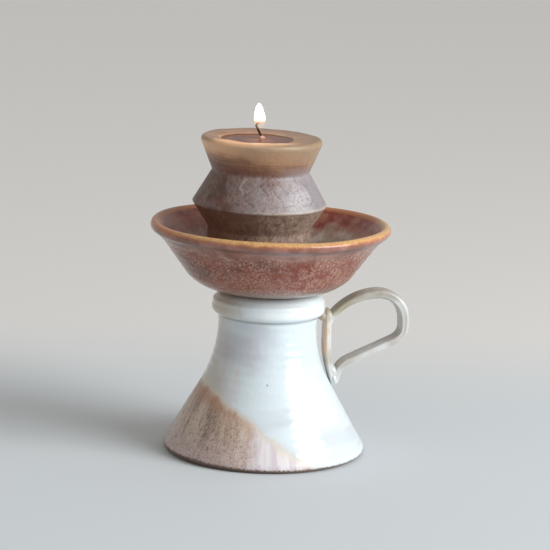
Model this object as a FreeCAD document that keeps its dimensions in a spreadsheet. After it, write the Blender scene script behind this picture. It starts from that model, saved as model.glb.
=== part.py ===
import FreeCAD, Part
import math
import os
import Sketcher
from FreeCAD import Placement, Rotation, Vector

# A stoneware pedestal candle holder with a brown pillar candle standing in it.
#
# The pedestal is thrown hollow: a wide cone that sweeps up into a narrow neck
# with a rounded collar. A pulled strap handle is luted on beside the neck, and
# a shallow flared bowl is bonded on top of the collar. The candle is a turned
# "totem" form with a cotton wick held by a small metal sustainer.
#
# Millimetres. Z is up, the foot rests on Z = 0 with its centre at the origin,
# and the handle stands out towards +X.

# ---------------------------------------------------------------- dimensions

DIMENSIONS = (
    # pedestal, radii and heights above the foot
    ("foot_radius", 62.0),
    ("foot_edge_curve", 3.8),
    ("cone_base_radius", 63.1),
    ("cone_base_height", 6.3),
    ("cone_top_radius", 42.0),
    ("cone_top_height", 43.1),
    ("sweep_curve", 80.0),
    ("neck_radius", 31.5),
    ("neck_height", 82.7),
    ("groove_radius", 32.3),
    ("groove_height", 88.4),
    ("bead_curve", 7.4),
    ("bead_top_radius", 34.8),
    ("bead_top_height", 99.3),
    ("band_radius", 33.9),
    ("band_height", 99.9),
    ("band_curve", 12.0),
    ("seat_radius", 27.5),
    ("seat_height", 103.8),
    ("mouth_radius", 22.0),
    ("mouth_depth", 6.0),
    ("wall", 6.0),
    ("inner_cone_top_radius", 36.8),
    ("inner_cone_top_height", 40.1),
    ("inner_cone_base_radius", 54.1),
    ("inner_cone_base_height", 10.0),
    ("pedestal_floor", 7.0),
    ("pedestal_floor_radius", 51.0),
    ("inner_corner_curve", 3.6),
    ("vent_radius", 1.5),
    ("vent_offset", 22.0),
    # bowl, heights above its foot
    ("bowl_shift", 0.3),
    ("bowl_wall", 5.8),
    ("bowl_foot_radius", 27.5),
    ("bowl_foot_rise", 1.0),
    ("bowl_foot_flare", 28.3),
    ("belly_curve", 31.0),
    ("bowl_wall_base_radius", 52.6),
    ("bowl_wall_base_height", 11.2),
    ("bowl_wall_top_radius", 65.5),
    ("bowl_wall_top_height", 29.0),
    ("flare_curve", 37.0),
    ("lip_radius", 74.4),
    ("lip_height", 38.0),
    ("lip_curve", 3.2),
    ("crest_radius", 73.2),
    ("crest_height", 44.2),
    ("lip_inside_radius", 70.6),
    ("lip_inside_height", 42.9),
    ("inner_wall_top_radius", 61.0),
    ("inner_wall_top_height", 32.7),
    ("inner_wall_base_radius", 45.1),
    ("inner_wall_base_height", 10.7),
    ("bowl_floor", 8.2),
    ("bowl_floor_radius", 40.2),
    ("floor_curve", 6.0),
    # handle, in its own plane: distance out from the neck's axis, and height
    ("handle_swing", 12.0),
    ("strap_width", 13.4),
    ("strap_thickness", 5.4),
    ("strap_edge_curve", 2.0),
    ("leg_thickness", 3.4),
    ("leg_edge_curve", 1.5),
    ("tail_reach", 44.0),
    ("tail_height", 41.0),
    ("tail_lean", 12.0),
    ("leg_bend_reach", 40.6),
    ("leg_bend_height", 57.1),
    ("leg_curve", 50.0),
    ("leg_reach", 39.5),
    ("leg_straight_height", 67.5),
    ("shoulder_height", 82.5),
    ("shoulder_curve", 30.0),
    ("shoulder_end_reach", 49.0),
    ("shoulder_end_height", 94.2),
    ("crown_curve", 39.6),
    ("crown_reach", 71.6),
    ("crown_height", 101.9),
    ("ear_curve", 17.4),
    ("ear_turn_height", 81.5),
    ("ear_turn_curve", 12.6),
    ("ear_end_reach", 81.7),
    ("ear_end_height", 70.4),
    ("return_end_reach", 51.8),
    ("return_end_height", 57.2),
    ("landing_curve", 9.6),
    ("landing_reach", 46.6),
    ("landing_height", 51.4),
    ("landing_tip_reach", 44.8),
    ("landing_tip_height", 44.0),
    ("root_reach", 30.0),
    ("root_outer_reach", 40.2),
    ("root_low", 81.0),
    ("root_high", 91.5),
    ("root_shoulder", 88.0),
    ("root_width", 10.5),
    # candle, heights above its base
    ("candle_shift", 8.0),
    ("candle_gap", 0.2),
    ("base_edge_radius", 30.7),
    ("base_radius", 32.2),
    ("base_edge_curve", 1.5),
    ("base_height", 31.8),
    ("belt_radius", 42.5),
    ("belt_low", 47.2),
    ("belt_high", 48.0),
    ("waist_radius", 30.7),
    ("waist_height", 68.0),
    ("top_side_radius", 37.9),
    ("top_side_height", 86.1),
    ("top_edge_curve", 2.5),
    ("top_edge_radius", 35.6),
    ("candle_height", 89.6),
    ("recess_edge_radius", 21.5),
    ("recess_edge_curve", 2.2),
    ("recess_side_radius", 19.9),
    ("recess_side_height", 88.0),
    ("recess_floor_radius", 17.0),
    ("recess_floor_height", 85.6),
    ("recess_curve", 5.0),
    # wick and its sustainer
    ("wick_radius", 0.75),
    ("wick_upright", 84.0),
    ("wick_bend", 12.0),
    ("wick_bend_out", 0.87),
    ("wick_bend_height", 88.5),
    ("wick_lean_out", 3.12),
    ("wick_lean_height", 94.06),
    ("wick_hook", 3.2),
    ("wick_hook_out", 2.29),
    ("wick_hook_height", 97.64),
    ("wick_tip_out", 1.1),
    ("wick_tip_height", 98.71),
    ("sustainer_gap", 0.1),
    ("sustainer_radius", 9.8),
    ("sustainer_top", 0.5),
    ("sustainer_neck_radius", 2.0),
    ("sustainer_neck_top", 6.1),
    ("pocket_radius", 10.2),
    ("pocket_depth", 0.8),
    ("pocket_neck_radius", 2.3),
    ("pocket_neck_depth", 6.8),
)

doc = FreeCAD.newDocument("pedestal_candle_holder")
sheet = doc.addObject("Spreadsheet::Sheet", "Dimensions")
for row, (alias, number) in enumerate(DIMENSIONS, start=1):
    sheet.set(f"A{row}", alias.replace("_", " "))
    sheet.set(f"B{row}", str(number))
    sheet.setAlias(f"B{row}", alias)
doc.recompute()


# A size is written as aliases joined by + and -, such as "seat_radius - wall".

def formula(size):
    """The expression that binds a size to the sheet."""
    return " ".join(word if word in "+-" else f"Dimensions.{word}" for word in size.split())


def number(size):
    """The value that the sheet gives a size now."""
    total = 0.0
    sign = 1
    for word in size.split():
        if word in "+-":
            sign = 1 if word == "+" else -1
        else:
            total += sign * float(sheet.get(word))
    return total


# ------------------------------------------------------------------ sketches

ON_AXIS = "0"
FIRST_POINT, LAST_POINT = 1, 2
ORIGIN = (-1, 1)
ACROSS_AXIS, UPRIGHT_AXIS = -1, -2


def new_body(name):
    body = doc.addObject("PartDesign::Body", name)
    body.Label = name
    return body


def new_sketch(body, name, plane="XZ_Plane"):
    sketch = body.newObject("Sketcher::SketchObject", name)
    support = [item for item in body.Origin.OriginFeatures if item.Role == plane][0]
    sketch.AttachmentSupport = (support, "")
    sketch.MapMode = "FlatFace"
    return sketch


def bind(sketch, constraint, size):
    """Tie one dimension of a sketch to the sheet."""
    index = sketch.addConstraint(constraint)
    name = f"size{index}"
    sketch.renameConstraint(index, name)
    sketch.setExpression(f"Constraints.{name}", formula(size))


def place_point(sketch, geometry, point, across, up):
    """Hold a point at (across, up); ON_AXIS keeps it on the sketch's own axis."""
    if across == ON_AXIS:
        sketch.addConstraint(Sketcher.Constraint("PointOnObject", geometry, point, UPRIGHT_AXIS))
    else:
        side = number(across)
        bind(sketch, Sketcher.Constraint("DistanceX", *ORIGIN, geometry, point, side), across)
    if up == ON_AXIS:
        sketch.addConstraint(Sketcher.Constraint("PointOnObject", geometry, point, ACROSS_AXIS))
    else:
        height = number(up)
        bind(sketch, Sketcher.Constraint("DistanceY", *ORIGIN, geometry, point, height), up)


def corner_vector(corner):
    across, up = corner[0], corner[1]
    return Vector(0 if across == ON_AXIS else number(across), 0 if up == ON_AXIS else number(up), 0)


def arc_between(start, end, radius, bulge):
    """The shorter arc from start to end that bulges to the left or right of the way."""
    chord = end - start
    left = Vector(-chord.y, chord.x, 0).normalize()
    rise = radius - math.sqrt(radius ** 2 - (chord.Length / 2) ** 2)
    side = left if bulge == "left" else -left
    return Part.Arc(start, start + chord / 2 + side * rise, end)


def draw(sketch, corners, closed=True):
    """Draw corners as (across, up) or (across, up, bulge, radius): a corner with
    a bulge starts an arc of that radius, any other corner starts a line."""
    places = [corner_vector(corner) for corner in corners]
    pairs = list(zip(range(len(corners)), range(1, len(corners))))
    if closed:
        pairs.append((len(corners) - 1, 0))
    ends = []
    for here, there in pairs:
        corner = corners[here]
        if len(corner) == 4:
            bulge, radius = corner[2], corner[3]
            arc = arc_between(places[here], places[there], number(radius), bulge)
            geometry = sketch.addGeometry(arc, False)
            bind(sketch, Sketcher.Constraint("Radius", geometry, number(radius)), radius)
        else:
            geometry = sketch.addGeometry(Part.LineSegment(places[here], places[there]), False)
        forward = (sketch.getPoint(geometry, FIRST_POINT) - places[here]).Length < 1e-6
        first, last = (FIRST_POINT, LAST_POINT) if forward else (LAST_POINT, FIRST_POINT)
        ends.append((geometry, first, last))
    for (before, _, last), (after, first, _) in zip(ends, ends[1:] + ends[:1] * closed):
        sketch.addConstraint(Sketcher.Constraint("Coincident", before, last, after, first))
    for (geometry, first, _), (here, _) in zip(ends, pairs):
        place_point(sketch, geometry, first, *corners[here][:2])
    if not closed:
        geometry, _, last = ends[-1]
        place_point(sketch, geometry, last, *corners[-1][:2])


def revolve(body, name, corners):
    """A turned solid: the outline spun about the body's upright axis."""
    sketch = new_sketch(body, f"{name}_outline")
    draw(sketch, corners)
    spin = body.newObject("PartDesign::Revolution", f"{name}_revolution")
    spin.Profile = sketch
    spin.ReferenceAxis = (sketch, ["V_Axis"])
    spin.Angle = 360
    return spin


def rounded_bar(sketch, width, thickness, curve):
    """A rectangle about the sketch's origin with four rounded corners."""
    half_width = number(width) / 2
    half_thickness = number(thickness) / 2
    radius = number(curve)
    turns = ((1, 1), (-1, 1), (-1, -1), (1, -1))
    arcs = []
    for step, (right, front) in enumerate(turns):
        centre = Vector(right * (half_thickness - radius), front * (half_width - radius), 0)
        circle = Part.Circle(centre, Vector(0, 0, 1), radius)
        start = step * math.pi / 2
        arcs.append(sketch.addGeometry(Part.ArcOfCircle(circle, start, start + math.pi / 2), False))
    for before, after in zip(arcs, arcs[1:] + arcs[:1]):
        begin = sketch.getPoint(before, LAST_POINT)
        finish = sketch.getPoint(after, FIRST_POINT)
        side = sketch.addGeometry(Part.LineSegment(begin, finish), False)
        sketch.addConstraint(Sketcher.Constraint("Tangent", before, LAST_POINT, side, FIRST_POINT))
        sketch.addConstraint(Sketcher.Constraint("Tangent", side, LAST_POINT, after, FIRST_POINT))
    for other in arcs[1:]:
        sketch.addConstraint(Sketcher.Constraint("Equal", arcs[0], other))
    first_side = arcs[-1] + 1
    for count in range(4):
        direction = "Vertical" if count % 2 else "Horizontal"
        sketch.addConstraint(Sketcher.Constraint(direction, first_side + count))
    sketch.addConstraint(Sketcher.Constraint("Symmetric", arcs[0], 3, arcs[2], 3, *ORIGIN))
    bind(sketch, Sketcher.Constraint("Radius", arcs[0], radius), curve)
    across = Sketcher.Constraint("DistanceX", arcs[1], LAST_POINT, arcs[0], FIRST_POINT, 2 * half_thickness)
    along = Sketcher.Constraint("DistanceY", arcs[2], LAST_POINT, arcs[1], FIRST_POINT, 2 * half_width)
    bind(sketch, across, thickness)
    bind(sketch, along, width)


def sweep(body, name, path, profile):
    """A pipe of the profile along an open path, added to the body."""
    pipe = body.newObject("PartDesign::AdditivePipe", name)
    pipe.Profile = profile
    pipe.Spine = (path, [f"Edge{count + 1}" for count in range(len(path.Shape.Edges))])
    pipe.Mode = "Binormal"
    pipe.Binormal = Vector(0, 1, 0)
    pipe.Refine = False
    return pipe


def profile_at(body, name, across, up, lean=None):
    """An empty sketch square to a path that starts upwards at (across, up); with
    a lean, the path starts that many degrees inwards."""
    sketch = new_sketch(body, name, "XY_Plane")
    inwards = Rotation(Vector(0, -1, 0), number(lean) if lean else 0)
    place = Vector(0 if across == ON_AXIS else number(across), 0, number(up))
    sketch.AttachmentOffset = Placement(place, inwards)
    if across != ON_AXIS:
        sketch.setExpression("AttachmentOffset.Base.x", formula(across))
    sketch.setExpression("AttachmentOffset.Base.z", formula(up))
    if lean:
        sketch.setExpression("AttachmentOffset.Rotation.Angle", formula(lean))
    return sketch


# ------------------------------------------------------------------ pedestal

def make_pedestal():
    """Hollow thrown cone with a closed floor, a neck and a rounded collar."""
    body = new_body("pedestal_base")
    revolve(body, "pedestal", [
        (ON_AXIS, ON_AXIS),
        ("foot_radius", ON_AXIS, "right", "foot_edge_curve"),
        ("cone_base_radius", "cone_base_height"),
        ("cone_top_radius", "cone_top_height", "left", "sweep_curve"),
        ("neck_radius", "neck_height"),
        ("groove_radius", "groove_height", "right", "bead_curve"),
        ("bead_top_radius", "bead_top_height"),
        ("band_radius", "band_height", "right", "band_curve"),
        ("seat_radius", "seat_height"),
        ("mouth_radius", "seat_height"),
        ("mouth_radius", "seat_height - mouth_depth"),
        ("neck_radius - wall", "neck_height", "right", "sweep_curve + wall"),
        ("inner_cone_top_radius", "inner_cone_top_height"),
        ("inner_cone_base_radius", "inner_cone_base_height", "left", "inner_corner_curve"),
        ("pedestal_floor_radius", "pedestal_floor"),
        (ON_AXIS, "pedestal_floor"),
    ])
    doc.recompute()
    closed_volume = body.Shape.Volume

    # A small hole through the floor lets the hot air out of the hollow in the kiln.
    vent = new_sketch(body, "vent_circle", "XY_Plane")
    circle = Part.Circle(Vector(0, number("vent_offset"), 0), Vector(0, 0, 1), number("vent_radius"))
    edge = vent.addGeometry(circle, False)
    bind(vent, Sketcher.Constraint("Radius", edge, number("vent_radius")), "vent_radius")
    vent.addConstraint(Sketcher.Constraint("PointOnObject", edge, 3, UPRIGHT_AXIS))
    along = Sketcher.Constraint("DistanceY", *ORIGIN, edge, 3, number("vent_offset"))
    bind(vent, along, "vent_offset")
    pocket = body.newObject("PartDesign::Pocket", "vent")
    pocket.Profile = vent
    pocket.Reversed = True
    pocket.Length = number("pedestal_floor")
    pocket.setExpression("Length", formula("pedestal_floor"))
    doc.recompute()
    drilled = closed_volume - body.Shape.Volume
    expected = math.pi * number("vent_radius") ** 2 * number("pedestal_floor")
    if abs(drilled - expected) > 0.01 * expected:
        raise RuntimeError("the vent does not go through the floor")
    return body


# ---------------------------------------------------------------------- bowl

def make_bowl():
    """Shallow flared bowl with a rolled lip and a flat floor for the candle."""
    body = new_body("bowl")
    revolve(body, "bowl", [
        (ON_AXIS, ON_AXIS),
        ("bowl_foot_radius", ON_AXIS),
        ("bowl_foot_flare", "bowl_foot_rise", "right", "belly_curve"),
        ("bowl_wall_base_radius", "bowl_wall_base_height"),
        ("bowl_wall_top_radius", "bowl_wall_top_height", "left", "flare_curve"),
        ("lip_radius", "lip_height", "right", "lip_curve"),
        ("crest_radius", "crest_height", "right", "lip_curve"),
        ("lip_inside_radius", "lip_inside_height", "right", "flare_curve + bowl_wall"),
        ("inner_wall_top_radius", "inner_wall_top_height"),
        ("inner_wall_base_radius", "inner_wall_base_height", "left", "floor_curve"),
        ("bowl_floor_radius", "bowl_floor"),
        (ON_AXIS, "bowl_floor"),
    ])
    body.setExpression("Placement.Base.x", "-" + formula("bowl_shift"))
    body.setExpression("Placement.Base.z", formula("seat_height"))
    return body


# -------------------------------------------------------------------- handle

def make_handle(pedestal):
    """Pulled strap closed into an ear: a slim leg down beside the neck, a wide
    loop out from the shoulder and back, and a wad of clay at the upper root.
    What would run into the pedestal is cut back to the pedestal's own surface."""
    strap = new_body("handle_strap")
    strap.Placement = Placement(Vector(), Rotation(Vector(0, 0, 1), number("handle_swing")))
    strap.setExpression("Placement.Rotation.Angle", formula("handle_swing"))

    leg_path = new_sketch(strap, "leg_path")
    draw(leg_path, [
        ("tail_reach", "tail_height"),
        ("leg_bend_reach", "leg_bend_height", "left", "leg_curve"),
        ("leg_reach", "leg_straight_height"),
        ("leg_reach", "root_shoulder"),
    ], closed=False)
    leg_profile = profile_at(strap, "leg_profile", "tail_reach", "tail_height", "tail_lean")
    rounded_bar(leg_profile, "strap_width", "leg_thickness", "leg_edge_curve")

    ear_path = new_sketch(strap, "ear_path")
    draw(ear_path, [
        ("leg_reach", "shoulder_height", "left", "shoulder_curve"),
        ("shoulder_end_reach", "shoulder_end_height", "left", "crown_curve"),
        ("crown_reach", "crown_height", "left", "ear_curve"),
        ("crown_reach + ear_curve", "crown_height - ear_curve"),
        ("crown_reach + ear_curve", "ear_turn_height", "left", "ear_turn_curve"),
        ("ear_end_reach", "ear_end_height"),
        ("return_end_reach", "return_end_height", "right", "landing_curve"),
        ("landing_reach", "landing_height"),
        ("landing_tip_reach", "landing_tip_height"),
    ], closed=False)
    ear_profile = profile_at(strap, "ear_profile", "leg_reach", "shoulder_height")
    rounded_bar(ear_profile, "strap_width", "strap_thickness", "strap_edge_curve")
    doc.recompute()

    sweep(strap, "leg", leg_path, leg_profile)
    doc.recompute()
    sweep(strap, "ear", ear_path, ear_profile)
    doc.recompute()

    root = new_sketch(strap, "root_outline")
    draw(root, [
        ("root_reach", "root_low"),
        ("root_outer_reach", "root_low"),
        ("root_outer_reach", "root_shoulder"),
        ("root_outer_reach", "root_high"),
        ("root_reach", "root_high"),
    ])
    pad = strap.newObject("PartDesign::Pad", "root")
    pad.Profile = root
    pad.Midplane = True
    pad.Length = number("root_width")
    pad.setExpression("Length", formula("root_width"))
    doc.recompute()

    handle = doc.addObject("Part::Cut", "handle")
    handle.Label = "handle"
    handle.Base = strap
    handle.Tool = pedestal
    return handle


# -------------------------------------------------------------------- candle

def stand_on_bowl_floor(body):
    """The candle's pieces share one place: off centre on the bowl's flat floor."""
    body.setExpression("Placement.Base.x", "-" + formula("candle_shift"))
    body.setExpression("Placement.Base.z", formula("seat_height + bowl_floor + candle_gap"))


def make_candle_wax():
    """Turned wax: a plain drum, a belt, a waist and a top with a burnt hollow."""
    body = new_body("candle_wax")
    revolve(body, "candle", [
        ("pocket_radius", ON_AXIS),
        ("base_edge_radius", ON_AXIS, "right", "base_edge_curve"),
        ("base_radius", "base_edge_curve"),
        ("base_radius", "base_height"),
        ("belt_radius", "belt_low"),
        ("belt_radius", "belt_high"),
        ("waist_radius", "waist_height"),
        ("top_side_radius", "top_side_height", "right", "top_edge_curve"),
        ("top_edge_radius", "candle_height"),
        ("recess_edge_radius", "candle_height", "right", "recess_edge_curve"),
        ("recess_side_radius", "recess_side_height", "left", "recess_curve"),
        ("recess_floor_radius", "recess_floor_height"),
        ("wick_radius", "recess_floor_height"),
        ("wick_radius", "pocket_neck_depth"),
        ("pocket_neck_radius", "pocket_neck_depth"),
        ("pocket_neck_radius", "pocket_depth"),
        ("pocket_radius", "pocket_depth"),
    ])
    stand_on_bowl_floor(body)
    return body


def make_wick():
    """Braided cotton wick: upright through the wax, then bent over by burning.
    It is drawn leaning to +X and turned half round, so that it leans to -X."""
    body = new_body("wick")
    path = new_sketch(body, "wick_path")
    draw(path, [
        (ON_AXIS, "sustainer_gap"),
        (ON_AXIS, "wick_upright", "left", "wick_bend"),
        ("wick_bend_out", "wick_bend_height"),
        ("wick_lean_out", "wick_lean_height", "right", "wick_hook"),
        ("wick_hook_out", "wick_hook_height"),
        ("wick_tip_out", "wick_tip_height"),
    ], closed=False)
    profile = profile_at(body, "wick_section", ON_AXIS, "sustainer_gap")
    circle = Part.Circle(Vector(), Vector(0, 0, 1), number("wick_radius"))
    edge = profile.addGeometry(circle, False)
    profile.addConstraint(Sketcher.Constraint("Coincident", edge, 3, *ORIGIN))
    bind(profile, Sketcher.Constraint("Radius", edge, number("wick_radius")), "wick_radius")
    doc.recompute()
    sweep(body, "braid", path, profile)
    body.Placement = Placement(Vector(), Rotation(Vector(0, 0, 1), 180))
    stand_on_bowl_floor(body)
    return body


def make_sustainer():
    """Pressed tin disc with a crimped neck that grips the foot of the wick."""
    body = new_body("wick_sustainer")
    revolve(body, "sustainer", [
        ("wick_radius", "sustainer_gap"),
        ("sustainer_radius", "sustainer_gap"),
        ("sustainer_radius", "sustainer_top"),
        ("sustainer_neck_radius", "sustainer_top"),
        ("sustainer_neck_radius", "sustainer_neck_top"),
        ("wick_radius", "sustainer_neck_top"),
    ])
    stand_on_bowl_floor(body)
    return body


# ------------------------------------------------------------ build and write

pedestal = make_pedestal()
subparts = [
    pedestal,
    make_handle(pedestal),
    make_bowl(),
    make_candle_wax(),
    make_wick(),
    make_sustainer(),
]
doc.recompute()

for item in doc.Objects:
    if "Invalid" in item.State or "Error" in item.State:
        raise RuntimeError(f"{item.Name} did not recompute: {item.State}")
for subpart in subparts:
    if subpart.Shape.isNull() or not subpart.Shape.isValid():
        raise RuntimeError(f"{subpart.Label} is not a valid shape")
    if len(subpart.Shape.Solids) != 1:
        raise RuntimeError(f"{subpart.Label} is not one solid")

os.makedirs("parts", exist_ok=True)
for subpart in subparts:
    subpart.Shape.exportStep(f"parts/{subpart.Label}.step")
    box = subpart.Shape.optimalBoundingBox(False, False)
    print(
        f"{subpart.Label}: {subpart.Shape.Volume / 1000:.1f} cm3,",
        f"x {box.XMin:.1f} {box.XMax:.1f}, y {box.YMin:.1f} {box.YMax:.1f},",
        f"z {box.ZMin:.1f} {box.ZMax:.1f}",
    )
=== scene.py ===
import bmesh
import bpy
import math
from mathutils import Matrix, Vector, noise


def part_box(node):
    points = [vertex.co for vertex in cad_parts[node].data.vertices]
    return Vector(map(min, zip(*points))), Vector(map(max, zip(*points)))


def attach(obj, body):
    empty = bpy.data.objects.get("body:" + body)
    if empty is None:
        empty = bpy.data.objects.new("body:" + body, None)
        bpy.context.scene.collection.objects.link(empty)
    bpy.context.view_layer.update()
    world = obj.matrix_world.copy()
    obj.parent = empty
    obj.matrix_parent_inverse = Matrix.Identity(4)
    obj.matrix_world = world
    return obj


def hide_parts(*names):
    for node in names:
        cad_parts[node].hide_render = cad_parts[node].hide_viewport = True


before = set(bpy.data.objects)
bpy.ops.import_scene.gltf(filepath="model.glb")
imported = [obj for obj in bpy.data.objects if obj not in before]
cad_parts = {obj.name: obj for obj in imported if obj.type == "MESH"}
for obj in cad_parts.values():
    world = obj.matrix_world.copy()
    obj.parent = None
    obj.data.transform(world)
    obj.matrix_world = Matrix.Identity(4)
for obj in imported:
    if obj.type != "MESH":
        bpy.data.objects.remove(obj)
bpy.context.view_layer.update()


# ------------------------------------------------------------------ pedestal
# Stoneware thrown on the wheel in one go: a hollow cone drawn up into a neck,
# with a rounded collar rolled on top. White glaze was poured down it at a
# slant, so that the tan under-glaze still shows low on one side.

mm = 0.001
seat_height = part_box("pedestal_base")[1].z
foot_flat = 61.6 * mm
foot_radius = 62.9 * mm
floor_thickness = 7.0 * mm
neck_radius = 31.3 * mm
neck_height = 82.7 * mm
collar_radius = 35.4 * mm
throat_radius = 22.0 * mm
vent_radius = 1.5 * mm
vent_offset = 22 * mm
drill_low = -5 * mm
drill_high = 12 * mm

# Finger rings climb the wall, and the wall is a hair out of round.
ring_pitch = 5.6 * mm
ring_depth = 0.10 * mm
out_of_round = 0.45 * mm
white_thickness = 0.22 * mm

# The white glaze ends along a slanting plane: above it the piece is white.
slant_x = 0.67
slant_y = 0.07
slant_height = 19.4 * mm

# The bowl's foot and this seat each stand back by a hair, for the slip between them.
seat_gap = 0.1 * mm

# One blister burst in the glaze on the front of the cone and left a short drip.
blister_spot = Vector((1.2 * mm, -37.9 * mm, 50.4 * mm))
blister_depth = 0.35 * mm
blister_radius = 0.9 * mm
drip_spot = blister_spot - Vector((0, 0, 2 * mm))
drip_height = 0.5 * mm
drip_radius = 1.1 * mm


def outline(corners, spacing):
    """Walk from corner to corner of a turned outline in even steps.
    A corner is (radius, height), or (radius, height, rise) where an arc leads on
    to the next one: rise is how far it swells to the right of the way."""
    walked = []
    for here, there in zip(corners, corners[1:]):
        start, end = Vector(here[:2]), Vector(there[:2])
        chord = end - start
        half = chord.length / 2
        steps = max(2, math.ceil(chord.length / spacing))
        rise = here[2] if len(here) > 2 else 0
        if not rise:
            walked += [start.lerp(end, step / steps) for step in range(steps)]
            continue
        along = chord.normalized()
        right = Vector((along.y, -along.x)) * math.copysign(1, rise)
        radius = (half ** 2 + rise ** 2) / (2 * abs(rise))
        centre = (start + end) / 2 + right * (abs(rise) - radius)
        opening = math.asin(min(1, half / radius))
        for step in range(steps):
            turn = opening * (2 * step / steps - 1)
            walked.append(centre + (right * math.cos(turn) + along * math.sin(turn)) * radius)
    walked.append(Vector(corners[-1][:2]))
    return walked


def softened(path, passes):
    """Take the sharpness off an outline's corners, as a wet sponge does."""
    for _ in range(passes):
        middle = [(a + 2 * b + c) / 4 for a, b, c in zip(path, path[1:], path[2:])]
        path = [path[0]] + middle + [path[-1]]
    return path


def joined(form, rings):
    """Lay faces from each ring of corners to the next. A ring of one is a pole."""
    for low, high in zip(rings, rings[1:]):
        for step in range(max(len(low), len(high))):
            a, b = low[step % len(low)], low[(step + 1) % len(low)]
            c, d = high[(step + 1) % len(high)], high[step % len(high)]
            form.faces.new(list(dict.fromkeys((a, b, c, d))))


def finished(name, form):
    """Turn a form into an object with smooth faces."""
    for face in form.faces:
        face.smooth = True
    mesh = bpy.data.meshes.new(name)
    form.to_mesh(mesh)
    form.free()
    piece = bpy.data.objects.new(name, mesh)
    bpy.context.scene.collection.objects.link(piece)
    return piece


def turned(name, path, around, girth=60 * mm, hand=None):
    """Spin an outline from axis to axis. hand(angle, spot) moves each spot a little,
    as hands on wet clay do. The mesh keeps a map of where glaze would run: round
    the piece at its usual girth, and along the outline."""
    on_axis = 0.05 * mm
    form = bmesh.new()
    flow = form.verts.layers.float_vector.new("flow")
    rings = []
    run = 0.0
    for here, before in zip(path, [path[0]] + path):
        run += (here - before).length
        ring = []
        for step in range(around if here.x > on_axis else 1):
            angle = math.tau * step / around
            ray = Vector((math.sin(angle), -math.cos(angle), 0))
            spot = Vector((ray.x * here.x, ray.y * here.x, here.y))
            if hand:
                spot = hand(angle, spot)
            corner = form.verts.new(spot)
            corner[flow] = (ray * girth + Vector((0, 0, run))) / mm
            ring.append(corner)
        rings.append(ring)
    joined(form, rings)
    bmesh.ops.recalc_face_normals(form, faces=form.faces)
    return finished(name, form)


def set_hard(piece):
    """Work a piece's modifiers into its mesh for good, as firing sets clay."""
    bpy.context.view_layer.update()
    worked = piece.evaluated_get(bpy.context.evaluated_depsgraph_get())
    mesh = bpy.data.meshes.new_from_object(worked)
    piece.modifiers.clear()
    piece.data = mesh


def eased(value, low, high):
    """0 below low, 1 above high, and an easy slope between."""
    share = min(1, max(0, (value - low) / (high - low)))
    return share * share * (3 - 2 * share)


def dimple(spot, centre, radius):
    """1 at the centre of a small round mark, fading to nothing round it."""
    return math.exp(-((spot - centre).length / radius) ** 2)


def tone(red, green, blue):
    """A colour as the eye names it, 0 to 255 each, for a shader."""
    linear = [((c / 255 + 0.055) / 1.055) ** 2.4 if c > 10 else c / 3295 for c in (red, green, blue)]
    return (*linear, 1)


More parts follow.
